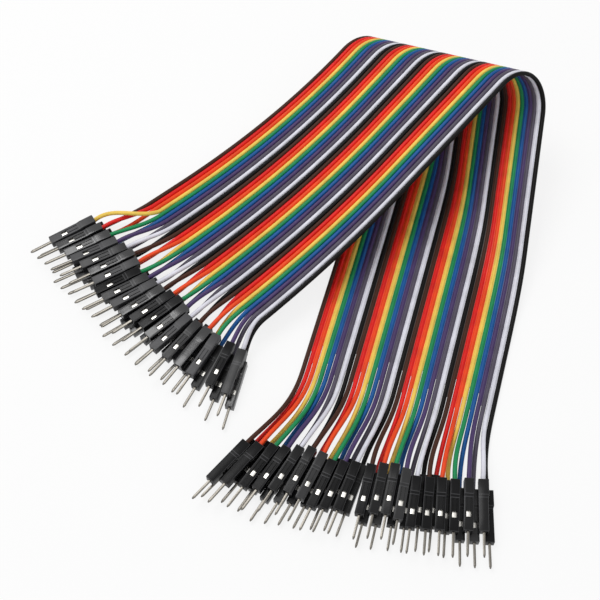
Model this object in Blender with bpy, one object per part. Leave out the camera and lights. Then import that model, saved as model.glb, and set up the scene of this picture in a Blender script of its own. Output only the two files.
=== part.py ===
"""Forty breadboard jumper wires, still bonded side by side as one rainbow ribbon that is folded over once.

Each jumper is a wire with a crimped pin terminal and a single-way housing at each end. The ribbon lies
flat along its lower run, rises in a loop, turns over and comes down again over the lower run. At both
ends the bonded wires part and fan out to their housings, which lie in two layers.
Lengths are in metres and +Z is up. The origin is on the table, under the middle of the folded set.
"""
import math

import bmesh
import bpy
from mathutils import Matrix, Vector

MM = 0.001

# The wires and the bond between them
WIRE_COUNT = 40
WIRE_DIAMETER = 1.25 * MM
BOND_GAP = 0.10 * MM

# The ribbon's run: where the bonded part starts and ends, measured along the wires
LOWER_SPLIT = -28.0 * MM
UPPER_SPLIT = 184.0 * MM
RUN_X = 36.89 * MM
RUN_Y = -7.14 * MM
RUN_HEADING = math.radians(74.2)

# The fold's three bends. Each has creases that fan out from its start to its end, so that the fold
# is tight at the brown edge and open at the black one. These are the places where the first and
# the last crease of each bend cross those two edges.
RISE_BROWN_START = 74.3 * MM
RISE_BROWN_END = 77.0 * MM
RISE_BLACK_START = -10.0 * MM
RISE_BLACK_END = 22.8 * MM
RISE_TURN = math.radians(36.5)
OVER_BROWN_START = 77.0 * MM
OVER_BROWN_END = 106.9 * MM
OVER_BLACK_START = 64.4 * MM
OVER_BLACK_END = 89.2 * MM
OVER_TURN = math.radians(166.2)
LEVEL_BROWN_START = 106.9 * MM
LEVEL_BROWN_END = 174.0 * MM
LEVEL_BLACK_START = 129.9 * MM
LEVEL_BLACK_END = 219.9 * MM
LEVEL_TURN = math.radians(-25.6)
CREASES = 24

# The single-way housing
BORE_CLEARANCE = 0.275 * MM
HOUSING_WALL = 0.35 * MM
HOUSING_LENGTH = 14.0 * MM
FRONT_WALL = 1.4 * MM
SHOULDER_RISE = 0.25 * MM
SHOULDER_LENGTH = 4.2 * MM
SHOULDER_RAMP = 0.8 * MM
WINDOW_LENGTH = 1.7 * MM
WINDOW_WIDTH = 1.3 * MM
WINDOW_SETBACK = 3.6 * MM

# The pin terminal
PIN_WIDTH = 0.64 * MM
PIN_REACH = 6.5 * MM
PIN_TAPER = 0.7 * MM
PIN_HOLE_CLEARANCE = 0.13 * MM
TERMINAL_CLEARANCE = 0.2 * MM
CRIMP_START = 0.7 * MM
CRIMP_LENGTH = 3.0 * MM
NECK_LENGTH = 1.6 * MM
NECK_WIDTH = 0.8 * MM

# The fans of housings at the two ends
SIDE_GAP = 0.45 * MM
SKEWED_SPREAD = 0.08
LAYER_GAP = 0.3 * MM
WIRE_SEAT = 1.6 * MM
LOOSE_HOUSINGS_FROM = 31
CROSSING_WIRE = 4
CROSSING_LIFT = 3.4 * MM
CROSSING_MARKS = (0.25, 0.5, 0.75)
EARLY_LIFT = 0.3
CUT_MARGIN = 1.0 * MM

# What follows from the sizes above
PITCH = WIRE_DIAMETER + BOND_GAP
BORE = WIRE_DIAMETER + 2 * BORE_CLEARANCE
HOUSING_WIDTH = BORE + 2 * HOUSING_WALL
HALF = HOUSING_WIDTH / 2
SLOT_STEP = (HOUSING_WIDTH + SIDE_GAP) / 2
LOWER_LAYER = HALF
UPPER_LAYER = LOWER_LAYER + HOUSING_WIDTH + SHOULDER_RISE + LAYER_GAP
PIN_HOLE = PIN_WIDTH + 2 * PIN_HOLE_CLEARANCE
TERMINAL_WIDTH = BORE - 2 * TERMINAL_CLEARANCE
BORE_DEPTH = HOUSING_LENGTH - FRONT_WALL
EDGE_HEIGHT = WIRE_DIAMETER / 2
HALF_COUNT = (WIRE_COUNT - 1) / 2
HALF_RIBBON = HALF_COUNT * PITCH

COLOURS = {
    "brown": (0.10, 0.045, 0.028),
    "red": (0.75, 0.020, 0.018),
    "orange": (0.90, 0.130, 0.025),
    "yellow": (0.92, 0.640, 0.090),
    "green": (0.010, 0.260, 0.090),
    "blue": (0.008, 0.080, 0.340),
    "violet": (0.090, 0.045, 0.170),
    "grey": (0.200, 0.180, 0.220),
    "white": (0.80, 0.790, 0.880),
    "black": (0.010, 0.009, 0.009),
}

# How far each housing is pushed along its axis, in turn, and how it is turned on the table
PUSHED = (0.2 * MM, 1.2 * MM, -0.7 * MM, 0.9 * MM, -1.2 * MM, 0.4 * MM, -0.4 * MM)
TURNED = (0.0, 1.2, -1.0, 0.6, -0.6)

# How far each free wire is lifted and pushed aside on its way to its housing, in turn
LIFTED = (0.5 * MM, 1.2 * MM, 0.2 * MM, 0.9 * MM, 1.4 * MM)
SWAYED = (0.45 * MM, -0.3 * MM, 0.5 * MM, -0.5 * MM, 0.15 * MM, 0.5 * MM, -0.4 * MM)


class Bend:
    """A bend of the strip by creases that fan out. Its marks are the shares at which wires get a point."""

    def __init__(self, brown_start, brown_end, black_start, black_end, turn, marks):
        self.brown = (brown_start, brown_end)
        self.black = (black_start, black_end)
        self.turn = turn
        self.marks = marks
        self.steps = [self.crease_step((step + 0.5) / CREASES) for step in range(CREASES)]

    def crossing(self, share, across):
        """How far along a wire a crease lies."""
        brown = self.brown[0] + (self.brown[1] - self.brown[0]) * share
        black = self.black[0] + (self.black[1] - self.black[0]) * share
        return (brown + black) / 2 + (black - brown) / 2 * across / HALF_RIBBON

    def crease_step(self, share):
        """A crease's middle, the direction across it, and the turn of the strip about it."""
        middle = Vector((self.crossing(share, 0.0), 0.0, 0.0))
        skew = math.atan2(self.crossing(share, -HALF_RIBBON) - middle.x, HALF_RIBBON)
        ahead = Vector((math.cos(skew), -math.sin(skew), 0.0))
        crease = Vector((math.sin(skew), math.cos(skew), 0.0))
        turn = Matrix.Rotation(-self.turn / CREASES, 4, crease)
        return middle, ahead, Matrix.Translation(middle) @ turn @ Matrix.Translation(-middle)


RISE = Bend(
    RISE_BROWN_START, RISE_BROWN_END, RISE_BLACK_START, RISE_BLACK_END, RISE_TURN, (0.25, 0.75)
)
OVER = Bend(
    OVER_BROWN_START,
    OVER_BROWN_END,
    OVER_BLACK_START,
    OVER_BLACK_END,
    OVER_TURN,
    (0, 0.25, 0.5, 0.75, 1),
)
LEVEL = Bend(
    LEVEL_BROWN_START, LEVEL_BROWN_END, LEVEL_BLACK_START, LEVEL_BLACK_END, LEVEL_TURN, (0.35,)
)


class Fan:
    """One end of the set: a row of slots spread out past the place where the bonded wires part."""

    def __init__(self, split, outward, reach, shift, aim, order, on_side, marks, tension, gaps):
        self.split = split
        self.outward = outward
        self.reach = reach
        self.shift = shift
        self.aim = aim
        self.order = order
        self.on_side = on_side
        self.marks = marks
        self.tension = tension
        self.gaps = gaps


def ribbon_point(along, across):
    """The place of a point of the bonded ribbon: along the wires and across them from mid width."""
    flat = Vector((along, -across, 0.0))
    point = flat
    for bend in (LEVEL, OVER, RISE):
        for middle, ahead, turn in reversed(bend.steps):
            if (flat - middle).dot(ahead) > 0.0:
                point = turn @ point
    place = Matrix.Translation((RUN_X, RUN_Y, EDGE_HEIGHT)) @ Matrix.Rotation(RUN_HEADING, 4, "Z")
    return place @ point


def across_of(number):
    """How far the middle of a wire lies from the middle of the ribbon."""
    return (number - 1 - HALF_COUNT) * PITCH


def fan_frame(fan):
    """The fan's own level frame: x outward along the wires, y across, from the first wire's side."""
    origin = ribbon_point(fan.split, 0.0)
    ahead = ribbon_point(fan.split + fan.outward * WIRE_DIAMETER, 0.0) - origin
    ahead.z = 0.0
    ahead.normalize()
    across = ribbon_point(fan.split, PITCH) - origin
    across.z = 0.0
    across -= ahead * across.dot(ahead)
    across.normalize()
    origin.z = 0.0
    return origin, ahead, across


def housing_frame(fan, number):
    """The place of a wire's housing: origin at its rear face, x along the pin, z out of its window."""
    slot = fan.order(number)
    share = (slot - 1 - HALF_COUNT) / HALF_COUNT
    origin, ahead, across = fan_frame(fan)
    reach = fan.reach[0] + fan.reach[1] * share + fan.reach[2] * share**2
    reach += PUSHED[slot % len(PUSHED)]
    spread = share + SKEWED_SPREAD * share**3
    sideways = fan.shift + HALF_COUNT * SLOT_STEP * spread
    aim = fan.aim[0] + fan.aim[1] * share + fan.aim[2] * share**2 + TURNED[slot % len(TURNED)]
    for after, width, angle in fan.gaps:
        side = 0.5 if slot > after else -0.5
        sideways += side * width
        aim += side * angle
    aim = math.radians(aim)
    height = UPPER_LAYER if slot % 2 else LOWER_LAYER
    axis = ahead * math.cos(aim) + across * math.sin(aim)
    up = Vector((0.0, 0.0, 1.0))
    left = up.cross(axis)
    place = origin + ahead * reach + across * sideways + up * height
    if slot in fan.on_side:
        left, up = -up, left
    frame = Matrix((axis, left, up)).transposed().to_4x4()
    frame.translation = place
    return frame


def bezier(start, first, second, end, share):
    """A point on a cubic Bezier curve."""
    rest = 1.0 - share
    return (
        start * rest**3
        + first * (3 * rest**2 * share)
        + second * (3 * rest * share**2)
        + end * share**3
    )


def tail_points(fan, number):
    """The free part of a wire, from where it leaves the ribbon to its seat in the housing."""
    across = across_of(number)
    start = ribbon_point(fan.split, across)
    heading = ribbon_point(fan.split + fan.outward * WIRE_DIAMETER, across) - start
    heading.normalize()
    frame = housing_frame(fan, number)
    axis = frame.to_3x3().col[0]
    rear = frame.translation
    slot = fan.order(number)
    crosses = slot != number and number == CROSSING_WIRE
    lift = CROSSING_LIFT if crosses else LIFTED[slot // 2 % len(LIFTED)] * (slot % 2)
    early = 1.0 if crosses else EARLY_LIFT
    hump = Vector((0.0, 0.0, lift))
    sway = fan_frame(fan)[2] * SWAYED[slot // 2 % len(SWAYED)]
    length = (rear - start).length
    first = start + heading * (fan.tension[0] * length) + hump * early
    second = rear - axis * (fan.tension[1] * length) + hump + sway
    marks = CROSSING_MARKS if crosses else fan.marks
    points = [bezier(start, first, second, rear, mark) for mark in marks]
    points.append(rear + axis * WIRE_SEAT)
    return points


def wire_route(number):
    """The points along a wire, from its seat in one housing to its seat in the other."""
    across = across_of(number)
    marks = [LOWER_SPLIT, UPPER_SPLIT]
    for bend in (RISE, OVER, LEVEL):
        marks += [bend.crossing(share, across) for share in bend.marks]
    run = [ribbon_point(mark, across) for mark in sorted(marks)]
    return tail_points(LOWER_END, number)[::-1] + run + tail_points(UPPER_END, number)


def material(name, colour, roughness, metallic=0.0):
    """A Principled material with a plain colour."""
    made = bpy.data.materials.new(name)
    made.use_nodes = True
    shader = made.node_tree.nodes["Principled BSDF"]
    shader.inputs["Base Color"].default_value = (*colour, 1.0)
    shader.inputs["Roughness"].default_value = roughness
    shader.inputs["Metallic"].default_value = metallic
    return made


def add_object(name, mesh, frame=None):
    """A mesh as an object of the scene."""
    made = bpy.data.objects.new(name, mesh)
    if frame is not None:
        made.matrix_world = frame
    bpy.context.scene.collection.objects.link(made)
    return made


def as_tool(made):
    """Marks a shape that only cuts or joins others."""
    made.hide_render = True
    made.display_type = "WIRE"
    return made


def drop(made):
    """Takes an object out of the file."""
    bpy.data.objects.remove(made, do_unlink=True)


def stepped_bar(name, sections):
    """A bar along x with square ends: each section is (x, half width, lowest z, highest z)."""
    shape = bmesh.new()
    rear = bmesh.ops.create_grid(shape, x_segments=1, y_segments=1, size=1.0)["verts"]
    across_x = Matrix.Rotation(math.pi / 2, 4, "X") @ Matrix.Rotation(math.pi / 2, 4, "Y")
    bmesh.ops.rotate(shape, verts=rear, matrix=across_x)
    set_section(rear, sections[0])
    face = rear[0].link_faces[0]
    for section in sections[1:]:
        made = bmesh.ops.extrude_face_region(shape, geom=[face, *face.edges])["geom"]
        corners = [item for item in made if isinstance(item, bmesh.types.BMVert)]
        face = next(item for item in made if isinstance(item, bmesh.types.BMFace))
        set_section(corners, section)
    bmesh.ops.recalc_face_normals(shape, faces=shape.faces)
    mesh = bpy.data.meshes.new(name)
    shape.to_mesh(mesh)
    shape.free()
    return mesh


def set_section(corners, section):
    """Moves the four corners of a bar's end to a section."""
    x, half, low, high = section
    middle = sum((corner.co for corner in corners), Vector()) / len(corners)
    for corner in corners:
        right = corner.co.y > middle.y
        above = corner.co.z > middle.z
        corner.co = (x, half if right else -half, high if above else low)


def block(name, low, high):
    """A plain block between two corners, as a tool."""
    half = (high[1] - low[1]) / 2
    middle = (high[1] + low[1]) / 2
    mesh = stepped_bar(name, [(low[0], half, low[2], high[2]), (high[0], half, low[2], high[2])])
    mesh.transform(Matrix.Translation((0.0, middle, 0.0)))
    return as_tool(add_object(name, mesh))


def combine(base, tool, operation):
    """Adds an exact Boolean of a tool to a base."""
    step = base.modifiers.new(f"{operation.lower()}_{tool.name}", "BOOLEAN")
    step.operation = operation
    step.solver = "EXACT"
    step.object = tool
    return step


def baked(base, tools, name):
    """The base's mesh with its modifiers applied, after which base and tools are dropped."""
    graph = bpy.context.evaluated_depsgraph_get()
    mesh = bpy.data.meshes.new_from_object(base.evaluated_get(graph))
    mesh.name = name
    for made in (base, *tools):
        drop(made)
    return mesh


def shell_sections():
    """The housing's outer sections: a raised shoulder at the rear, a ramp and the slim front."""
    ramp_end = SHOULDER_LENGTH + SHOULDER_RAMP
    return [
        (0.0, HALF, -HALF, HALF + SHOULDER_RISE),
        (SHOULDER_LENGTH, HALF, -HALF, HALF + SHOULDER_RISE),
        (ramp_end, HALF, -HALF, HALF),
        (HOUSING_LENGTH, HALF, -HALF, HALF),
    ]


def window_span():
    """Where the latch window starts and ends along the housing."""
    front = HOUSING_LENGTH - WINDOW_SETBACK
    return front - WINDOW_LENGTH, front


def housing_mesh():
    """The moulded housing: bore from the rear, pin hole and latch window."""
    shell = add_object("housing_shell", stepped_bar("housing_shell", shell_sections()))
    bore = block("bore", (-CUT_MARGIN, -BORE / 2, -BORE / 2), (BORE_DEPTH, BORE / 2, BORE / 2))
    hole = block(
        "pin_hole",
        (BORE_DEPTH - CUT_MARGIN, -PIN_HOLE / 2, -PIN_HOLE / 2),
        (HOUSING_LENGTH + CUT_MARGIN, PIN_HOLE / 2, PIN_HOLE / 2),
    )
    rear, front = window_span()
    window = block(
        "window", (rear, -WINDOW_WIDTH / 2, 0.0), (front, WINDOW_WIDTH / 2, HALF + CUT_MARGIN)
    )
    tools = [bore, hole, window]
    for tool in tools:
        combine(shell, tool, "DIFFERENCE")
    return baked(shell, tools, "housing")


def terminal_mesh():
    """The pressed terminal: crimp barrel, neck, locking box and the square pin with its tapered tip."""
    crimp_end = CRIMP_START + CRIMP_LENGTH
    box_start = crimp_end + NECK_LENGTH
    box_end = BORE_DEPTH - TERMINAL_CLEARANCE
    wide = TERMINAL_WIDTH / 2
    neck = NECK_WIDTH / 2
    pin = PIN_WIDTH / 2
    tip = HOUSING_LENGTH + PIN_REACH
    sections = [
        (CRIMP_START, wide, -wide, wide),
        (crimp_end, wide, -wide, wide),
        (crimp_end, neck, -neck, neck),
        (box_start, neck, -neck, neck),
        (box_start, wide, -wide, wide),
        (box_end, wide, -wide, wide),
        (box_end, pin, -pin, pin),
        (tip - PIN_TAPER, pin, -pin, pin),
        (tip, pin / 2, -pin / 2, pin / 2),
    ]
    return stepped_bar("terminal", sections)


def closed_connector_mesh():
    """Housing and pin as one solid, with the latch window as a recess."""
    pin = PIN_WIDTH / 2
    tip = HOUSING_LENGTH + PIN_REACH
    sections = shell_sections()
    sections.append((HOUSING_LENGTH, pin, -pin, pin))
    sections.append((tip, pin, -pin, pin))
    solid = add_object("connector_solid", stepped_bar("connector_solid", sections))
    rear, front = window_span()
    window = block(
        "window_recess",
        (rear, -WINDOW_WIDTH / 2, HALF - HOUSING_WALL),
        (front, WINDOW_WIDTH / 2, HALF + CUT_MARGIN),
    )
    combine(solid, window, "DIFFERENCE")
    return baked(solid, [window], "closed_connector")


def cord_mesh(number):
    """The insulated wire as a round tube with closed ends."""
    route = wire_route(number)
    curve = bpy.data.curves.new(f"cord_{number:02d}", "CURVE")
    curve.dimensions = "3D"
    curve.bevel_depth = WIRE_DIAMETER / 2
    curve.bevel_resolution = 2
    curve.use_fill_caps = True
    spline = curve.splines.new("POLY")
    spline.points.add(len(route) - 1)
    for point, place in zip(spline.points, route):
        point.co = (*place, 1.0)
    return baked(add_object("cord", curve), [], f"cord_{number:02d}")


def colour_name(number):
    """The colour of a wire, counted from the ribbon's brown edge."""
    return list(COLOURS)[(number - 1) % len(COLOURS)]


def build_jumper(number, looks, housing, terminal, connector):
    """One jumper: its wire with the terminals crimped on, and its housings."""
    mesh = cord_mesh(number)
    mesh.materials.clear()
    mesh.materials.append(looks[colour_name(number)])
    wire = add_object(f"wire_{number:02d}_{colour_name(number)}", mesh)
    loose = number >= LOOSE_HOUSINGS_FROM
    for end, fan in (("lower", LOWER_END), ("upper", UPPER_END)):
        frame = housing_frame(fan, number)
        end_mesh = terminal if loose else connector
        tool = as_tool(add_object(f"tool_{number:02d}_{end}", end_mesh, frame))
        combine(wire, tool, "UNION")
        if loose:
            add_object(f"housing_{number:02d}_{end}", housing, frame)
    return wire


def as_numbered(number):
    """Slots in the order of the wires."""
    return number


def yellow_first(number):
    """Slots in the order of the wires, but with the first yellow wire crossing over to the first slot."""
    if number == CROSSING_WIRE:
        return 1
    if number < CROSSING_WIRE:
        return number + 1
    return number


LOWER_END = Fan(
    split=LOWER_SPLIT,
    outward=-1,
    reach=(23.3 * MM, -2.2 * MM, -0.5 * MM),
    shift=-2.5 * MM,
    aim=(-3.7, 17.5, -2.8),
    order=as_numbered,
    on_side=(1, 3, 39, 40),
    marks=(1 / 3, 2 / 3),
    tension=(0.42, 0.34),
    gaps=((3, 0.4 * MM, 2.0), (20, 1.0 * MM, 3.5)),
)
UPPER_END = Fan(
    split=UPPER_SPLIT,
    outward=1,
    reach=(14.8 * MM, -1.9 * MM, -1.7 * MM),
    shift=-0.8 * MM,
    aim=(-4.8, 20.7, 18.0),
    order=yellow_first,
    on_side=(33, 39),
    marks=(0.35, 0.78),
    tension=(0.4, 0.33),
    gaps=((36, 1.0 * MM, 3.0),),
)


def main():
    for old in list(bpy.data.objects):
        bpy.data.objects.remove(old, do_unlink=True)
    looks = {name: material(f"{name}_wire", colour, 0.42) for name, colour in COLOURS.items()}
    nylon = material("black_nylon", (0.012, 0.012, 0.013), 0.38)
    plated = material("plated_pin", (0.72, 0.70, 0.66), 0.25, 1.0)
    housing = housing_mesh()
    terminal = terminal_mesh()
    connector = closed_connector_mesh()
    for mesh, look in ((housing, nylon), (terminal, plated), (connector, nylon)):
        mesh.materials.clear()
        mesh.materials.append(look)
    for number in range(1, WIRE_COUNT + 1):
        build_jumper(number, looks, housing, terminal, connector)


main()
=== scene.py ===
# %% [markdown]
# # Breadboard jumper wires: forty wires in one rainbow ribbon, folded over once
#
# The real set is forty thin wires whose PVC jackets are bonded side by side. Each wire has a
# pressed pin terminal and a black single-way housing at both ends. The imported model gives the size
# and place of everything, and this file gives it its fine shapes and its finish.

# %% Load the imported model
import math

import bmesh
import bpy
from mathutils import Matrix, Vector


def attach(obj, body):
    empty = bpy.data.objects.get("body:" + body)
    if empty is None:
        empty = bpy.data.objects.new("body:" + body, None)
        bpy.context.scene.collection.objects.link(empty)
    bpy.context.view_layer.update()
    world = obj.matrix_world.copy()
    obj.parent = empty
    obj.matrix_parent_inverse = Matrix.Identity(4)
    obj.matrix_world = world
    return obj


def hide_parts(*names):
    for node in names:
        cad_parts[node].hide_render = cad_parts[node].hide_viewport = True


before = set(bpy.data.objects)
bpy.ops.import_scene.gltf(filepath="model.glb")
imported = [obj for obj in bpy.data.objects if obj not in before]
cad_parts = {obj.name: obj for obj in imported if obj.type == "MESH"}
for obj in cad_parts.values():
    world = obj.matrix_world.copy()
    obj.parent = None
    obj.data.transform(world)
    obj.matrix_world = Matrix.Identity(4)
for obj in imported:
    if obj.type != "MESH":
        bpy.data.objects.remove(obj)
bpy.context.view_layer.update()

MM = 0.001

# %% [markdown]
# ## The camera
#
# A product picture like this one is taken from above at a steep angle with a fairly long lens. The
# lens, the angle and the distance were found together with the shape of the fold, by matching
# points along the ribbon's two edges, so the camera comes first and everything else can be checked
# in it.

# %% Place the camera
PICTURE_WIDTH = 600
FOCAL_IN_PIXELS = 1195.4
SENSOR_WIDTH = 36.0
CAMERA_ELEVATION = math.radians(59.9)
CAMERA_DISTANCE = 340.2 * MM
CAMERA_TARGET = Vector((3.2 * MM, -4.1 * MM, 0.0))
CLIP_START = 10.0 * MM

camera_data = bpy.data.cameras.new("photo_camera")
camera_data.sensor_width = SENSOR_WIDTH
camera_data.lens = SENSOR_WIDTH * FOCAL_IN_PIXELS / PICTURE_WIDTH
camera_data.clip_start = CLIP_START
camera = bpy.data.objects.new("photo_camera", camera_data)
back_and_up = Vector((0.0, -math.cos(CAMERA_ELEVATION), math.sin(CAMERA_ELEVATION)))
camera.location = CAMERA_TARGET + back_and_up * CAMERA_DISTANCE
camera.rotation_euler = (math.pi / 2 - CAMERA_ELEVATION, 0.0, 0.0)
bpy.context.scene.collection.objects.link(camera)
bpy.context.scene.camera = camera
print("camera at", [round(value, 4) for value in camera.location])
print("lens", round(camera_data.lens, 1), "mm")

# %% [markdown]
# ## The route of the wires
#
# Along the bonded part the wires form a flat strip that is only ever bent, never stretched, like a
# strip of paper. So the strip is laid out flat and carried round three bends. The creases of a
# bend fan out like the folds of a fan, which makes the fold tight at the brown edge and open at
# the black one, as in the picture. At both ends every wire leaves the strip on a curve of its own
# and runs straight into its housing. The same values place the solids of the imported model.

# %% Sizes of the ribbon and of its fans
WIRE_COUNT = 40
WIRE_DIAMETER = 1.25 * MM
PITCH = 1.35 * MM
HALF_COUNT = (WIRE_COUNT - 1) / 2
LOWER_SPLIT = -28.0 * MM
UPPER_SPLIT = 184.0 * MM
RUN_PLACE = Vector((36.89 * MM, -7.14 * MM, WIRE_DIAMETER / 2))
RUN_HEADING = math.radians(74.2)
HALF_RIBBON = HALF_COUNT * PITCH
CREASES = 24

# Where a bend's first and last crease cross the brown edge, where they cross the black edge, and
# how far the bend turns the strip
RISE = ((74.3 * MM, 77.0 * MM), (-10.0 * MM, 22.8 * MM), math.radians(36.5))
OVER = ((77.0 * MM, 106.9 * MM), (64.4 * MM, 89.2 * MM), math.radians(166.2))
LEVEL = ((106.9 * MM, 174.0 * MM), (129.9 * MM, 219.9 * MM), math.radians(-25.6))

BORE = 1.8 * MM
HOUSING_WALL = 0.35 * MM
HOUSING_WIDTH = BORE + 2 * HOUSING_WALL
HALF = HOUSING_WIDTH / 2
SHOULDER_RISE = 0.25 * MM
SLOT_GAP = 0.45 * MM
SLOT_STEP = (HOUSING_WIDTH + SLOT_GAP) / 2
LAYER_GAP = 0.3 * MM
LOWER_LAYER = HALF
UPPER_LAYER = LOWER_LAYER + HOUSING_WIDTH + SHOULDER_RISE + LAYER_GAP
SKEWED_SPREAD = 0.08
WIRE_SEAT = 1.6 * MM

# How far each housing is pushed out, turned in degrees and, in the upper layer, rolled in degrees,
# and how far each free wire is lifted and swayed on its way, all in turn along the row
PUSHED = (0.2 * MM, 1.2 * MM, -0.7 * MM, 0.9 * MM, -1.2 * MM, 0.4 * MM, -0.4 * MM)
TURNED = (0.0, 1.2, -1.0, 0.6, -0.6)
ROLLED = (0.0, 4.0, -3.0, 5.0, -4.5, 2.0, -5.0, 3.0, -1.5)
LIFTED = (0.5 * MM, 1.2 * MM, 0.2 * MM, 0.9 * MM, 1.4 * MM)
SWAYED = (0.45 * MM, -0.3 * MM, 0.5 * MM, -0.5 * MM, 0.15 * MM, 0.5 * MM, -0.4 * MM)
EARLY_LIFT = 0.3
CROSSING_WIRE = 4
CROSSING_LIFT = 3.4 * MM

# Each end of the ribbon: where the wires part, how far out and how far aside the housings lie, the
# way they point in degrees, which of them lie on their side, how strongly the wires keep their
# heading at their two ends, and the gaps in the row as slot, width and angle
LOWER_END = {
    "split": LOWER_SPLIT,
    "outward": -1,
    "reach": (23.3 * MM, -2.2 * MM, -0.5 * MM),
    "shift": -2.5 * MM,
    "aim": (-3.7, 17.5, -2.8),
    "on_side": (1, 3, 39, 40),
    "tension": (0.42, 0.34),
    "gaps": ((3, 0.4 * MM, 2.0), (20, 1.0 * MM, 3.5)),
    "crossing": False,
}
UPPER_END = {
    "split": UPPER_SPLIT,
    "outward": 1,
    "reach": (14.8 * MM, -1.9 * MM, -1.7 * MM),
    "shift": -0.8 * MM,
    "aim": (-4.8, 20.7, 18.0),
    "on_side": (33, 39),
    "tension": (0.4, 0.33),
    "gaps": ((36, 1.0 * MM, 3.0),),
    "crossing": True,
}
ENDS = {"lower": LOWER_END, "upper": UPPER_END}
UP = Vector((0.0, 0.0, 1.0))
print("ribbon", round(PITCH * WIRE_COUNT / MM, 1), "mm wide")


# %% Carry a point of the flat strip round the bends
def crease_steps(bend):
    """A bend's creases: the middle of each, the direction across it, and the turn about it."""
    brown, black, turn = bend
    steps = []
    for step in range(CREASES):
        share = (step + 0.5) / CREASES
        at_brown = brown[0] + (brown[1] - brown[0]) * share
        at_black = black[0] + (black[1] - black[0]) * share
        middle = Vector(((at_brown + at_black) / 2, 0.0, 0.0))
        skew = math.atan2(at_brown - middle.x, HALF_RIBBON)
        ahead = Vector((math.cos(skew), -math.sin(skew), 0.0))
        crease = Vector((math.sin(skew), math.cos(skew), 0.0))
        fold = Matrix.Rotation(-turn / CREASES, 4, crease)
        about_crease = Matrix.Translation(middle) @ fold @ Matrix.Translation(-middle)
        steps.append((middle, ahead, about_crease))
    return steps


ALL_CREASES = [step for bend in (RISE, OVER, LEVEL) for step in crease_steps(bend)]
STRIP_PLACE = Matrix.Translation(RUN_PLACE) @ Matrix.Rotation(RUN_HEADING, 4, "Z")


def ribbon_point(along, across):
    """The place of a point of the strip: along the wires, and across them from mid width."""
    flat = Vector((along, -across, 0.0))
    point = flat
    for middle, ahead, fold in reversed(ALL_CREASES):
        if (flat - middle).dot(ahead) > 0.0:
            point = fold @ point
    return STRIP_PLACE @ point


def across_of(number):
    """How far the middle of a wire lies from the middle of the strip."""
    return (number - 1 - HALF_COUNT) * PITCH


CREST_ALONG = 85.0 * MM
print("crest of the fold at", [round(v / MM, 1) for v in ribbon_point(CREST_ALONG, 0.0)])


# %% Place the housings of both fans
def slot_of(fan, number):
    """The place of a wire in the row of housings: one yellow wire crosses over to the first."""
    if not fan["crossing"] or number > CROSSING_WIRE:
        return number
    return 1 if number == CROSSING_WIRE else number + 1


def fan_frame(fan):
    """The fan's level frame: where it starts, outward along the wires, and across from wire 1."""
    origin = ribbon_point(fan["split"], 0.0)
    ahead = ribbon_point(fan["split"] + fan["outward"] * WIRE_DIAMETER, 0.0) - origin
    ahead.z = 0.0
    ahead.normalize()
    across = ribbon_point(fan["split"], PITCH) - origin
    across.z = 0.0
    across -= ahead * across.dot(ahead)
    across.normalize()
    origin.z = 0.0
    return origin, ahead, across


def quadratic(terms, share):
    """A value that varies smoothly from one side of the fan to the other."""
    return terms[0] + terms[1] * share + terms[2] * share**2


def housing_frame(fan, number):
    """A housing's place: origin at its rear face, x along the pin, z out of its latch window."""
    slot = slot_of(fan, number)
    share = (slot - 1 - HALF_COUNT) / HALF_COUNT
    origin, ahead, across = fan_frame(fan)
    reach = quadratic(fan["reach"], share) + PUSHED[slot % len(PUSHED)]
    sideways = fan["shift"] + HALF_COUNT * SLOT_STEP * (share + SKEWED_SPREAD * share**3)
    aim = quadratic(fan["aim"], share) + TURNED[slot % len(TURNED)]
    for after, width, angle in fan["gaps"]:
        side = 0.5 if slot > after else -0.5
        sideways += side * width
        aim += side * angle
    aim = math.radians(aim)
    height = UPPER_LAYER if slot % 2 else LOWER_LAYER
    axis = ahead * math.cos(aim) + across * math.sin(aim)
    up = UP
    left = up.cross(axis)
    if slot in fan["on_side"]:
        left, up = -up, left
    placed = Matrix((axis, left, up)).transposed().to_4x4()
    placed.translation = origin + ahead * reach + across * sideways + UP * height
    roll = ROLLED[slot // 2 % len(ROLLED)] * (slot % 2)
    return placed @ Matrix.Rotation(math.radians(roll), 4, "X")


print("first housing at", [round(v / MM, 1) for v in housing_frame(LOWER_END, 1).translation])

# %% [markdown]
# ## The forty wires
#
# Each wire is one free cord from housing to housing. A curve with a round bevel is the natural
# tool: it keeps the jacket's diameter constant however the route turns. The points lie about a
# wire's diameter apart, so that neighbouring wires never touch in the tight part of the fold. The
# bevel is one metre deep and each point scales it down to the jacket's radius, because Blender
# adds a point's own radius to the curve's bounds.

# %% Trace each wire's route
RUN_STEP = 1.2 * MM
TAIL_STEPS = 20


def tail_points(fan, number):
    """The free part of a wire, from where it leaves the strip to its seat in the housing."""
    across = across_of(number)
    start = ribbon_point(fan["split"], across)
    heading = ribbon_point(fan["split"] + fan["outward"] * WIRE_DIAMETER, across) - start
    heading.normalize()
    placed = housing_frame(fan, number)
    axis = placed.to_3x3().col[0]
    rear = placed.translation
    slot = slot_of(fan, number)
    crosses = fan["crossing"] and number == CROSSING_WIRE
    hump = UP * (CROSSING_LIFT if crosses else LIFTED[slot // 2 % len(LIFTED)] * (slot % 2))
    early = 1.0 if crosses else EARLY_LIFT
    sway = fan_frame(fan)[2] * SWAYED[slot // 2 % len(SWAYED)]
    length = (rear - start).length
    first = start + heading * (fan["tension"][0] * length) + hump * early
    second = rear - axis * (fan["tension"][1] * length) + hump + sway
    points = []
    for step in range(1, TAIL_STEPS + 1):
        share = step / TAIL_STEPS
        rest = 1.0 - share
        blend = start * rest**3 + first * (3 * rest**2 * share)
        points.append(blend + second * (3 * rest * share**2) + rear * share**3)
    points.append(rear + axis * WIRE_SEAT)
    return points


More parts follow.
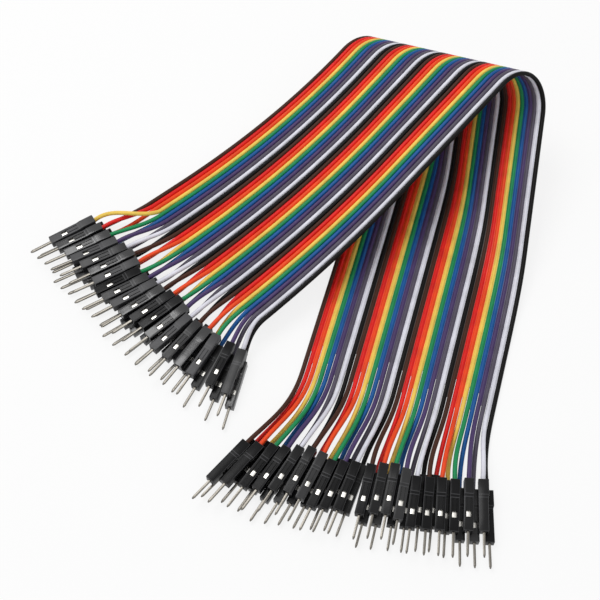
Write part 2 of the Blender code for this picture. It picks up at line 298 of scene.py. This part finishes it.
def wire_route(number):
    """All points of a wire, from its seat in the lower housing to its seat in the upper one."""
    steps = round((UPPER_SPLIT - LOWER_SPLIT) / RUN_STEP)
    marks = [LOWER_SPLIT + (UPPER_SPLIT - LOWER_SPLIT) * step / steps for step in range(steps + 1)]
    run = [ribbon_point(mark, across_of(number)) for mark in marks]
    return tail_points(LOWER_END, number)[::-1] + run + tail_points(UPPER_END, number)


def route_length(route):
    """The length of a route along its points."""
    return sum((after - before).length for before, after in zip(route, route[1:]))


routes = {number: wire_route(number) for number in range(1, WIRE_COUNT + 1)}
lengths = [route_length(route) for route in routes.values()]
print("wires from", round(min(lengths) / MM), "to", round(max(lengths) / MM), "mm long")

# %% Make the wires as curves
WIRE_COLOURS = (
    "brown",
    "red",
    "orange",
    "yellow",
    "green",
    "blue",
    "violet",
    "grey",
    "white",
    "black",
)
JACKET_BEVEL_STEPS = 4


def colour_name(number):
    """The colour of a wire, counted from the ribbon's brown edge."""
    return WIRE_COLOURS[(number - 1) % len(WIRE_COLOURS)]


def make_wire(number):
    """A wire's jacket as a curve with a round bevel and closed ends."""
    curve = bpy.data.curves.new(f"jacket_{number:02d}", "CURVE")
    curve.dimensions = "3D"
    curve.bevel_depth = 1.0
    curve.bevel_resolution = JACKET_BEVEL_STEPS
    curve.use_fill_caps = True
    spline = curve.splines.new("POLY")
    spline.points.add(len(routes[number]) - 1)
    for point, place in zip(spline.points, routes[number]):
        point.co = (*place, 1.0)
        point.radius = WIRE_DIAMETER / 2
    spline.use_smooth = True
    jacket = bpy.data.objects.new(f"jacket_{number:02d}_{colour_name(number)}", curve)
    bpy.context.scene.collection.objects.link(jacket)
    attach(jacket, "root")
    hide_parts(f"wire_{number:02d}_{colour_name(number)}")
    return jacket


jackets = {number: make_wire(number) for number in range(1, WIRE_COUNT + 1)}
print("wires made:", len(jackets), "with", len(routes[1]), "points each")

# %% [markdown]
# ## The housings
#
# A single-way housing is a small injection moulding: a square tube with a thicker rear third that
# slopes down to a slim front. The wire goes in at the open rear, the pin comes out of a small
# square hole in the front wall, and a springy tongue between two grooves catches the terminal
# behind the latch window. It is made as a machinist would draw it: one square face extruded along
# its length, its edges rounded, and then the bore, the pin hole, the window and the grooves let
# in.

# %% Extrude a square bar through its sections
ACROSS_X = Matrix.Rotation(math.pi / 2, 4, "X") @ Matrix.Rotation(math.pi / 2, 4, "Y")
ROUND_SEGMENTS = 2


def set_section(corners, x, half, low, high):
    """Moves the four corners of a bar's end to a section."""
    middle = sum((corner.co for corner in corners), Vector()) / len(corners)
    for corner in corners:
        right = corner.co.y > middle.y
        above = corner.co.z > middle.z
        corner.co = (x, half if right else -half, high if above else low)


def extrude_to(shape, face, x, half, low, high):
    """Extrudes a face to a new section and returns the face at its end."""
    made = bmesh.ops.extrude_face_region(shape, geom=[face, *face.edges])["geom"]
    corners = [item for item in made if isinstance(item, bmesh.types.BMVert)]
    set_section(corners, x, half, low, high)
    return next(item for item in made if isinstance(item, bmesh.types.BMFace))


def square_bar(sections):
    """A bar along x with square ends: each section is x, half width, lowest z and highest z."""
    shape = bmesh.new()
    made = bmesh.ops.create_grid(shape, x_segments=1, y_segments=1, size=1.0, matrix=ACROSS_X)
    set_section(made["verts"], *sections[0])
    face = made["verts"][0].link_faces[0]
    for section in sections[1:]:
        face = extrude_to(shape, face, *section)
    bmesh.ops.recalc_face_normals(shape, faces=shape.faces)
    return shape


def round_edges(shape, width):
    """Rounds all edges, and marks the new faces for a painted glint, a paler colour."""
    glint_layer = shape.faces.layers.float.new("edge_glint")
    made = bmesh.ops.bevel(
        shape,
        geom=shape.edges[:],
        offset=width,
        segments=ROUND_SEGMENTS,
        profile=0.5,
        affect="EDGES",
        material=-1,
    )
    for face in made["faces"]:
        face[glint_layer] = 1.0


print("bar helpers ready")

# %% Let openings into a bar
SAME_PLACE = 0.01 * MM
NEARLY_LEVEL = 0.9
HOLE_INSET = 0.05 * MM


def end_face(shape, x):
    """The flat face that closes a bar's end."""
    return max(
        (face for face in shape.faces if abs(face.calc_center_median().x - x) < SAME_PLACE),
        key=lambda face: face.calc_area(),
    )


def open_end(shape, face, sections):
    """Lets a square hole into an end face, through the given sections."""
    bmesh.ops.inset_individual(shape, faces=[face], thickness=HOLE_INSET)
    set_section(face.verts, *sections[0])
    for section in sections[1:]:
        face = extrude_to(shape, face, *section)


def cut_lines(shape, places, direction):
    """Cuts the surface along planes across a direction."""
    for place in places:
        bmesh.ops.bisect_plane(
            shape,
            geom=[*shape.verts, *shape.edges, *shape.faces],
            plane_co=direction * place,
            plane_no=direction,
        )


def faces_within(shape, height, x_span, y_span, facing):
    """The level faces at a height within a rectangle, on either side of the middle."""
    found = []
    for face in shape.faces:
        middle = face.calc_center_median()
        level = abs(middle.z - height) < SAME_PLACE and face.normal.z * facing > NEARLY_LEVEL
        inside = x_span[0] < middle.x < x_span[1] and y_span[0] <= abs(middle.y) < y_span[1]
        if level and inside:
            found.append(face)
    return found


def sink(shape, faces, depth):
    """Pushes faces straight down with walls around them, and returns the faces at the bottom."""
    edges = {edge for face in faces for edge in face.edges}
    made = bmesh.ops.extrude_face_region(shape, geom=[*faces, *edges])["geom"]
    corners = [item for item in made if isinstance(item, bmesh.types.BMVert)]
    bmesh.ops.translate(shape, verts=corners, vec=(0.0, 0.0, -depth))
    return [item for item in made if isinstance(item, bmesh.types.BMFace)]


print("opening helpers ready")

# %% Model one housing
HOUSING_LENGTH = 14.0 * MM
FRONT_WALL = 1.4 * MM
BORE_DEPTH = HOUSING_LENGTH - FRONT_WALL
SHOULDER_LENGTH = 4.2 * MM
SHOULDER_RAMP = 0.8 * MM
WINDOW_LENGTH = 1.7 * MM
WINDOW_WIDTH = 1.3 * MM
WINDOW_SETBACK = 3.6 * MM
EDGE_ROUND = 0.11 * MM
BORE_LEAD = 0.12 * MM
PIN_WIDTH = 0.64 * MM
PIN_HOLE_GAP = 0.13 * MM
PIN_HOLE = PIN_WIDTH + 2 * PIN_HOLE_GAP
HOLE_STOP = 0.1 * MM
TONGUE_LENGTH = 3.4 * MM
TONGUE_WIDTH = 0.84 * MM
GROOVE_DEPTH = 0.22 * MM
MERGE_DISTANCE = 0.002 * MM


def housing_mesh():
    """The moulded housing, along x from its rear face."""
    ramp_end = SHOULDER_LENGTH + SHOULDER_RAMP
    raised = HALF + SHOULDER_RISE
    shape = square_bar(
        [
            (0.0, HALF, -HALF, raised),
            (SHOULDER_LENGTH, HALF, -HALF, raised),
            (ramp_end, HALF, -HALF, HALF),
            (HOUSING_LENGTH, HALF, -HALF, HALF),
        ]
    )
    round_edges(shape, EDGE_ROUND)
    mouth = BORE / 2 + BORE_LEAD
    bore = BORE / 2
    hole = PIN_HOLE / 2
    open_end(
        shape,
        end_face(shape, 0.0),
        [
            (0.0, mouth, -mouth, mouth),
            (2 * BORE_LEAD, bore, -bore, bore),
            (BORE_DEPTH, bore, -bore, bore),
        ],
    )
    open_end(
        shape,
        end_face(shape, HOUSING_LENGTH),
        [(HOUSING_LENGTH, hole, -hole, hole), (BORE_DEPTH + HOLE_STOP, hole, -hole, hole)],
    )
    window = (HOUSING_LENGTH - WINDOW_SETBACK - WINDOW_LENGTH, HOUSING_LENGTH - WINDOW_SETBACK)
    tongue = (window[0] - TONGUE_LENGTH, window[0])
    wide = WINDOW_WIDTH / 2
    narrow = TONGUE_WIDTH / 2
    cut_lines(shape, (tongue[0], *window), Vector((1.0, 0.0, 0.0)))
    cut_lines(shape, (-wide, -narrow, narrow, wide), Vector((0.0, 1.0, 0.0)))
    floor = sink(shape, faces_within(shape, HALF, window, (0.0, wide), 1), HOUSING_WALL)
    inner = faces_within(shape, bore, window, (0.0, wide), -1)
    bmesh.ops.delete(shape, geom=[*floor, *inner], context="FACES")
    bmesh.ops.remove_doubles(shape, verts=shape.verts, dist=MERGE_DISTANCE)
    sink(shape, faces_within(shape, HALF, tongue, (narrow, wide), 1), GROOVE_DEPTH)
    mesh = bpy.data.meshes.new("housing")
    shape.to_mesh(mesh)
    shape.free()
    return mesh


housing_pattern = housing_mesh()
print("housing faces:", len(housing_pattern.polygons))

# %% [markdown]
# ## The terminals
#
# A terminal is pressed from thin plated strip. From outside only its square pin with the tapered
# tip shows, with its locking box in the latch window and its crimp barrel just inside the
# housing's rear. A bar extruded through its sections has all of these, and its edges are rounded a
# little, as drawing and plating leave them.

# %% Model one terminal
PIN_REACH = 6.5 * MM
PIN_TAPER = 0.7 * MM
CRIMP_START = 0.7 * MM
CRIMP_LENGTH = 3.0 * MM
NECK_LENGTH = 1.6 * MM
NECK_WIDTH = 0.8 * MM
TERMINAL_CLEARANCE = 0.2 * MM
TERMINAL_SLOPE = 0.2 * MM
PIN_ROUND = 0.05 * MM


def terminal_mesh():
    """The pressed terminal, along x from its housing's rear face."""
    crimp_end = CRIMP_START + CRIMP_LENGTH
    box_start = crimp_end + NECK_LENGTH
    box_end = BORE_DEPTH - TERMINAL_CLEARANCE
    wide = BORE / 2 - TERMINAL_CLEARANCE
    neck = NECK_WIDTH / 2
    pin = PIN_WIDTH / 2
    tip = HOUSING_LENGTH + PIN_REACH
    shape = square_bar(
        [
            (CRIMP_START, wide, -wide, wide),
            (crimp_end, wide, -wide, wide),
            (crimp_end + TERMINAL_SLOPE, neck, -neck, neck),
            (box_start, neck, -neck, neck),
            (box_start + TERMINAL_SLOPE, wide, -wide, wide),
            (box_end, wide, -wide, wide),
            (box_end + TERMINAL_SLOPE, pin, -pin, pin),
            (tip - PIN_TAPER, pin, -pin, pin),
            (tip, pin / 2, -pin / 2, pin / 2),
        ]
    )
    round_edges(shape, PIN_ROUND)
    # The part inside the housing is marked to be painted bright: a painted glint in the latch window
    box_glint = shape.faces.layers.float.new("box_glint")
    for face in shape.faces:
        face[box_glint] = 1.0 if face.calc_center_median().x < box_end + TERMINAL_SLOPE / 2 else 0.0
    mesh = bpy.data.meshes.new("terminal")
    shape.to_mesh(mesh)
    shape.free()
    return mesh


terminal_pattern = terminal_mesh()
print("terminal faces:", len(terminal_pattern.polygons))

# %% Put a housing and a terminal on each end of each wire
LOOSE_HOUSINGS_FROM = 31
SHARP_ANGLE = math.radians(35.0)


def place_copy(pattern, name, placed):
    """A copy of a pattern with its place in its mesh."""
    mesh = pattern.copy()
    mesh.name = name
    mesh.transform(placed)
    mesh.shade_smooth()
    mesh.set_sharp_from_angle(angle=SHARP_ANGLE)
    piece = bpy.data.objects.new(name, mesh)
    bpy.context.scene.collection.objects.link(piece)
    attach(piece, "root")
    return piece


def dress_end(number, end):
    """The housing and the terminal on one end of a wire."""
    placed = housing_frame(ENDS[end], number)
    shell = place_copy(housing_pattern, f"shell_{number:02d}_{end}", placed)
    if number >= LOOSE_HOUSINGS_FROM:
        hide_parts(f"housing_{number:02d}_{end}")
    pin = place_copy(terminal_pattern, f"terminal_{number:02d}_{end}", placed)
    return [shell, pin]


fittings = {}
for number in range(1, WIRE_COUNT + 1):
    fittings[number] = dress_end(number, "lower") + dress_end(number, "upper")
print("housings and terminals:", sum(len(made) for made in fittings.values()))

for number, jacket in jackets.items():
    tuple(housing_frame(LOWER_END, number).translation)
print("cords declared:", len(jackets))

# %% [markdown]
# ## The bond between the wires
#
# The jackets are joined by a thin web of the same PVC, which is pulled apart by hand to free the
# wires. It shows as the floor of the groove between two wires and ends raggedly where the wires
# part. Each web is a narrow grid laid along the strip, half in the colour of each neighbour, and
# all are given their thickness together.

# %% Lay the webs along the strip
WEB_STEP = 2.4 * MM
WEB_THICKNESS = 0.3 * MM
WEB_REACH = 0.35
RAGGED_LOWER = (1.0, 6.5, 3.0, 9.0, 0.5, 4.0, 7.5)
RAGGED_UPPER = (2.0, 0.5, 5.0, 8.0, 1.0)
JACKET_COLOURS = {
    "brown": (0.062, 0.024, 0.015),
    "red": (0.74, 0.013, 0.010),
    "orange": (0.86, 0.070, 0.012),
    "yellow": (0.90, 0.620, 0.110),
    "green": (0.010, 0.260, 0.090),
    "blue": (0.008, 0.095, 0.320),
    "violet": (0.070, 0.042, 0.135),
    "grey": (0.095, 0.083, 0.115),
    "white": (0.76, 0.760, 0.840),
    "black": (0.004, 0.0035, 0.0035),
}
DARK_JACKETS = ("brown", "black")


def lay_web(shape, number, layer):
    """The web between a wire and the next."""
    start = LOWER_SPLIT + RAGGED_LOWER[number % len(RAGGED_LOWER)] * MM
    end = UPPER_SPLIT - RAGGED_UPPER[number % len(RAGGED_UPPER)] * MM
    steps = round((end - start) / WEB_STEP)
    near = across_of(number) + WEB_REACH * PITCH
    far = across_of(number + 1) - WEB_REACH * PITCH
    corners = bmesh.ops.create_grid(shape, x_segments=steps, y_segments=2, size=1.0)["verts"]
    faces = {face for corner in corners for face in corner.link_faces}
    for face in faces:
        neighbour = number if face.calc_center_median().y < 0.0 else number + 1
        face[layer] = (*JACKET_COLOURS[colour_name(neighbour)], 1.0)
    for corner in corners:
        along = start + (end - start) * (corner.co.x + 1.0) / 2
        across = near + (far - near) * (corner.co.y + 1.0) / 2
        corner.co = ribbon_point(along, across)


def make_webs():
    """All thirty-nine webs as one piece."""
    shape = bmesh.new()
    layer = shape.faces.layers.float_color.new("web_colour")
    for number in range(1, WIRE_COUNT):
        lay_web(shape, number, layer)
    bmesh.ops.recalc_face_normals(shape, faces=shape.faces)
    shape.normal_update()
    bmesh.ops.solidify(shape, geom=shape.faces[:], thickness=WEB_THICKNESS)
    mesh = bpy.data.meshes.new("bond_webs")
    shape.to_mesh(mesh)
    shape.free()
    webs = bpy.data.objects.new("bond_webs", mesh)
    bpy.context.scene.collection.objects.link(webs)
    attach(webs, "root")
    return webs


bond_webs = make_webs()
print("web faces:", len(bond_webs.data.polygons))

# %% [markdown]
# ## The finishes
#
# PVC jackets are satin and nearly even in colour. Moulded nylon is a little grainy. The housings'
# rounded edges are painted paler, a painted glint, and the housings come in five shades of black,
# which are painted sheen and shade for how each one catches the light: those of the upper end are
# paler or shinier than those of the lower end. The plated pins take a dark metal colour, painted
# shade for the dark room they would reflect, and the terminal's part inside the housing is painted
# bright, a painted glint in the latch window; all have fine scuffs. All share one node group: it
# varies a colour gently, gives a roughness around a middle value and a height for the grain, all
# from the object's own coordinates.

# %% Build the shared grain group
BROAD_SCALE = 260.0
BROAD_DETAIL = 3.0
FINE_DETAIL = 4.0
NOISE_LOW = 0.3
NOISE_HIGH = 0.7
ROUGHNESS_SWING = 0.16


def build_grain_group():
    """A node group that varies colour, roughness and height by noise on two scales."""
    group = bpy.data.node_groups.new("moulded_grain", "ShaderNodeTree")
    face = group.interface
    for name, kind in (
        ("Vector", "NodeSocketVector"),
        ("Colour", "NodeSocketColor"),
        ("Variation", "NodeSocketFloat"),
        ("Roughness", "NodeSocketFloat"),
        ("Fine Scale", "NodeSocketFloat"),
    ):
        face.new_socket(name=name, in_out="INPUT", socket_type=kind)
    for name, kind in (
        ("Colour", "NodeSocketColor"),
        ("Roughness", "NodeSocketFloat"),
        ("Height", "NodeSocketFloat"),
    ):
        face.new_socket(name=name, in_out="OUTPUT", socket_type=kind)
    nodes = group.nodes
    links = group.links
    given = nodes.new("NodeGroupInput")
    handed = nodes.new("NodeGroupOutput")
    broad = nodes.new("ShaderNodeTexNoise")
    broad.inputs["Scale"].default_value = BROAD_SCALE
    broad.inputs["Detail"].default_value = BROAD_DETAIL
    fine = nodes.new("ShaderNodeTexNoise")
    fine.inputs["Detail"].default_value = FINE_DETAIL
    links.new(given.outputs["Vector"], broad.inputs["Vector"])
    links.new(given.outputs["Vector"], fine.inputs["Vector"])
    links.new(given.outputs["Fine Scale"], fine.inputs["Scale"])
    level = nodes.new("ShaderNodeMapRange")
    level.inputs["From Min"].default_value = NOISE_LOW
    level.inputs["From Max"].default_value = NOISE_HIGH
    level.inputs["To Min"].default_value = -1.0
    level.inputs["To Max"].default_value = 1.0
    links.new(broad.outputs["Fac"], level.inputs["Value"])
    swing = nodes.new("ShaderNodeMath")
    swing.operation = "MULTIPLY_ADD"
    swing.inputs[2].default_value = 1.0
    links.new(level.outputs["Result"], swing.inputs[0])
    links.new(given.outputs["Variation"], swing.inputs[1])
    tint = nodes.new("ShaderNodeHueSaturation")
    links.new(swing.outputs["Value"], tint.inputs["Value"])
    links.new(given.outputs["Colour"], tint.inputs["Color"])
    links.new(tint.outputs["Color"], handed.inputs["Colour"])
    rough = nodes.new("ShaderNodeMath")
    rough.operation = "MULTIPLY_ADD"
    rough.inputs[1].default_value = ROUGHNESS_SWING
    shifted = nodes.new("ShaderNodeMath")
    shifted.operation = "SUBTRACT"
    shifted.inputs[1].default_value = ROUGHNESS_SWING / 2
    links.new(given.outputs["Roughness"], shifted.inputs[0])
    links.new(fine.outputs["Fac"], rough.inputs[0])
    links.new(shifted.outputs["Value"], rough.inputs[2])
    links.new(rough.outputs["Value"], handed.inputs["Roughness"])
    links.new(fine.outputs["Fac"], handed.inputs["Height"])
    return group


grain_group = build_grain_group()
print("sockets of the grain group:", [item.name for item in grain_group.interface.items_tree])


# %% Build the finishes
GRAIN_HEIGHT = 0.02 * MM
PVC_GLOSS = 0.22
DARK_PVC_GLOSS = 0.12


def grained(name, colour, variation, roughness, fine_scale, bump):
    """A Principled material that reads the grain group on object coordinates."""
    made = bpy.data.materials.new(name)
    made.use_nodes = True
    nodes = made.node_tree.nodes
    links = made.node_tree.links
    shader = nodes["Principled BSDF"]
    place = nodes.new("ShaderNodeTexCoord")
    grain = nodes.new("ShaderNodeGroup")
    grain.node_tree = grain_group
    grain.inputs["Colour"].default_value = (*colour, 1.0)
    grain.inputs["Variation"].default_value = variation
    grain.inputs["Roughness"].default_value = roughness
    grain.inputs["Fine Scale"].default_value = fine_scale
    relief = nodes.new("ShaderNodeBump")
    relief.inputs["Strength"].default_value = bump
    relief.inputs["Distance"].default_value = GRAIN_HEIGHT
    links.new(place.outputs["Object"], grain.inputs["Vector"])
    links.new(grain.outputs["Colour"], shader.inputs["Base Color"])
    links.new(grain.outputs["Roughness"], shader.inputs["Roughness"])
    links.new(grain.outputs["Height"], relief.inputs["Height"])
    links.new(relief.outputs["Normal"], shader.inputs["Normal"])
    return made, grain, shader


pvc_finishes = {}
for name, colour in JACKET_COLOURS.items():
    made, grain, shader = grained(
        f"{name}_pvc", colour, variation=0.10, roughness=0.40, fine_scale=2600.0, bump=0.5
    )
    gloss = DARK_PVC_GLOSS if name in DARK_JACKETS else PVC_GLOSS
    shader.inputs["Specular IOR Level"].default_value = gloss
    pvc_finishes[name] = made

web_pvc, web_grain = grained(
    "web_pvc", (0.5, 0.5, 0.5), variation=0.15, roughness=0.5, fine_scale=2600.0, bump=0.8
)[:2]
web_colour = web_pvc.node_tree.nodes.new("ShaderNodeAttribute")
web_colour.attribute_name = "web_colour"
web_pvc.node_tree.links.new(web_colour.outputs["Color"], web_grain.inputs["Colour"])
print("PVC finishes:", len(pvc_finishes) + 1)

# %% Build the nylon and the plating
# The colour of the housings' rounded edges: a painted glint, paler than the black
NYLON_EDGE_GLINT = (0.046, 0.046, 0.049, 1.0)

# Each shade's colour, roughness and gloss. The colours are painted sheen and shade: paler where a
# housing would catch the light, darker where it would not
NYLONS = {
    "deep": ((0.0035, 0.0035, 0.004, 1.0), 0.34, 0.14),
    "dark_sheen": ((0.006, 0.006, 0.0065, 1.0), 0.30, 0.22),
    "grey_sheen": ((0.012, 0.012, 0.013, 1.0), 0.36, 0.40),
    "pale_sheen": ((0.034, 0.034, 0.037, 1.0), 0.46, 0.50),
    "polished": ((0.010, 0.010, 0.011, 1.0), 0.22, 0.75),
}


def mix_by_mark(finish, grain, mark, plain, marked):
    """Lets a face attribute choose between two colours before the grain varies them."""
    nodes = finish.node_tree.nodes
    chosen = nodes.new("ShaderNodeAttribute")
    chosen.attribute_name = mark
    mix = nodes.new("ShaderNodeMix")
    mix.data_type = "RGBA"
    mix.inputs["A"].default_value = plain
    mix.inputs["B"].default_value = marked
    finish.node_tree.links.new(chosen.outputs["Fac"], mix.inputs["Factor"])
    finish.node_tree.links.new(mix.outputs["Result"], grain.inputs["Colour"])


nylon_finishes = []
for name, (nylon, roughness, gloss) in NYLONS.items():
    made, grain, shader = grained(
        f"black_nylon_{name}",
        nylon[:3],
        variation=0.25,
        roughness=roughness,
        fine_scale=3400.0,
        bump=0.6,
    )
    shader.inputs["Specular IOR Level"].default_value = gloss
    # The rounded edges take the paler colour: a painted glint
    mix_by_mark(made, grain, "edge_glint", nylon, NYLON_EDGE_GLINT)
    nylon_finishes.append(made)

# The pin's metal colour is darkened: painted shade standing for the dark room it would reflect
PIN_METAL = (0.18, 0.168, 0.148, 1.0)
# The part inside the housing is painted bright: a painted glint where it shows in the latch window
BOX_GLINT_METAL = (0.80, 0.78, 0.73, 1.0)

plated, plated_grain, plated_shader = grained(
    "plated_terminal",
    PIN_METAL[:3],
    variation=0.15,
    roughness=0.32,
    fine_scale=5200.0,
    bump=0.5,
)
plated_shader.inputs["Metallic"].default_value = 1.0
# The part inside the housing takes the bright colour: a painted glint
mix_by_mark(plated, plated_grain, "box_glint", PIN_METAL, BOX_GLINT_METAL)
print("finishes built")


# %% Give each piece its finish
def finish_with(piece, finish):
    """Puts one finish on a piece."""
    piece.data.materials.clear()
    piece.data.materials.append(finish)


# Which shade of painted sheen the housings of each end take in turn: two and a half steps on from
# wire to wire
NYLON_TURNS = {
    "lower": (0, 1, 0, 0, 2, 0, 1),
    "upper": (2, 4, 1, 3, 0, 4, 3, 1, 4, 2, 3),
}

for number, jacket in jackets.items():
    finish_with(jacket, pvc_finishes[colour_name(number)])
    for piece in fittings[number]:
        turns = NYLON_TURNS["lower" if "lower" in piece.name else "upper"]
        shade = turns[number * 5 // 2 % len(turns)]
        finish_with(piece, plated if piece.name.startswith("terminal") else nylon_finishes[shade])
finish_with(bond_webs, web_pvc)

# %% [markdown]
# ## The table and the light
#
# The picture has a plain white ground and soft light from above. The floor is white, is mixed with
# plain white where the camera or a mirror-like surface sees it, and still keeps the set's soft
# shadow. The room behind it is as pale as the floor's far end, so that no edge shows. One broad
# lamp from the upper left gives the jackets their highlights.

# %% Make the floor
FLOOR_SIZE = 60.0
FLOOR_DROP = 0.05 * MM
FLOOR_WHITE = (0.93, 0.93, 0.93, 1.0)
FLOOR_ROUGHNESS = 0.9
FLOOR_LIFT = 0.82


def seen_directly(tree):
    """One where the camera or a mirror-like or clear surface looks, and zero for soft light."""
    path = tree.nodes.new("ShaderNodeLightPath")
    total = path.outputs["Is Camera Ray"]
    for name in ("Is Glossy Ray", "Is Transmission Ray"):
        adding = tree.nodes.new("ShaderNodeMath")
        adding.operation = "MAXIMUM"
        tree.links.new(total, adding.inputs[0])
        tree.links.new(path.outputs[name], adding.inputs[1])
        total = adding.outputs["Value"]
    return total


floor_shape = bmesh.new()
bmesh.ops.create_grid(floor_shape, x_segments=1, y_segments=1, size=FLOOR_SIZE / 2)
bmesh.ops.translate(floor_shape, verts=floor_shape.verts, vec=(0.0, 0.0, -FLOOR_DROP))
floor_mesh = bpy.data.meshes.new("floor")
floor_shape.to_mesh(floor_mesh)
floor_shape.free()
floor = bpy.data.objects.new("floor", floor_mesh)
bpy.context.scene.collection.objects.link(floor)

floor_finish = bpy.data.materials.new("white_floor")
floor_finish.use_nodes = True
floor_tree = floor_finish.node_tree
floor_shader = floor_tree.nodes["Principled BSDF"]
floor_shader.inputs["Base Color"].default_value = FLOOR_WHITE
floor_shader.inputs["Roughness"].default_value = FLOOR_ROUGHNESS
plain_white = floor_tree.nodes.new("ShaderNodeEmission")
plain_white.inputs["Strength"].default_value = 1.0
lift = floor_tree.nodes.new("ShaderNodeMath")
lift.operation = "MULTIPLY"
lift.inputs[1].default_value = FLOOR_LIFT
floor_mix = floor_tree.nodes.new("ShaderNodeMixShader")
floor_tree.links.new(seen_directly(floor_tree), lift.inputs[0])
floor_tree.links.new(lift.outputs["Value"], floor_mix.inputs["Fac"])
floor_tree.links.new(floor_shader.outputs["BSDF"], floor_mix.inputs[1])
floor_tree.links.new(plain_white.outputs["Emission"], floor_mix.inputs[2])
floor_output = floor_tree.nodes["Material Output"]
floor_tree.links.new(floor_mix.outputs["Shader"], floor_output.inputs["Surface"])
floor.data.materials.append(floor_finish)
print("floor", FLOOR_SIZE, "m across")

# %% Set the light and the view
WORLD_LEVEL = 0.62
ROOM_SEEN = 0.93
LAMP_POWER = 1.7
LAMP_SIZE = 0.35
LAMP_PLACE = Vector((-0.22, 0.16, 0.60))

world = bpy.data.worlds.new("soft_room")
world.use_nodes = True
room = world.node_tree.nodes["Background"]
room.inputs["Color"].default_value = (1.0, 1.0, 1.0, 1.0)
straight = seen_directly(world.node_tree)
strength = world.node_tree.nodes.new("ShaderNodeMapRange")
strength.inputs["To Min"].default_value = WORLD_LEVEL
strength.inputs["To Max"].default_value = ROOM_SEEN
world.node_tree.links.new(straight, strength.inputs["Value"])
world.node_tree.links.new(strength.outputs["Result"], room.inputs["Strength"])
bpy.context.scene.world = world

lamp_data = bpy.data.lights.new("broad_lamp", "AREA")
lamp_data.shape = "SQUARE"
lamp_data.size = LAMP_SIZE
lamp_data.energy = LAMP_POWER
lamp = bpy.data.objects.new("broad_lamp", lamp_data)
lamp.location = LAMP_PLACE
lamp.rotation_euler = (-LAMP_PLACE).to_track_quat("-Z", "Y").to_euler()
bpy.context.scene.collection.objects.link(lamp)

bpy.context.scene.view_settings.view_transform = "Standard"
print("lamp at", [round(value, 2) for value in lamp.location])

# %% Bring the scene up to date
bpy.context.view_layer.update()
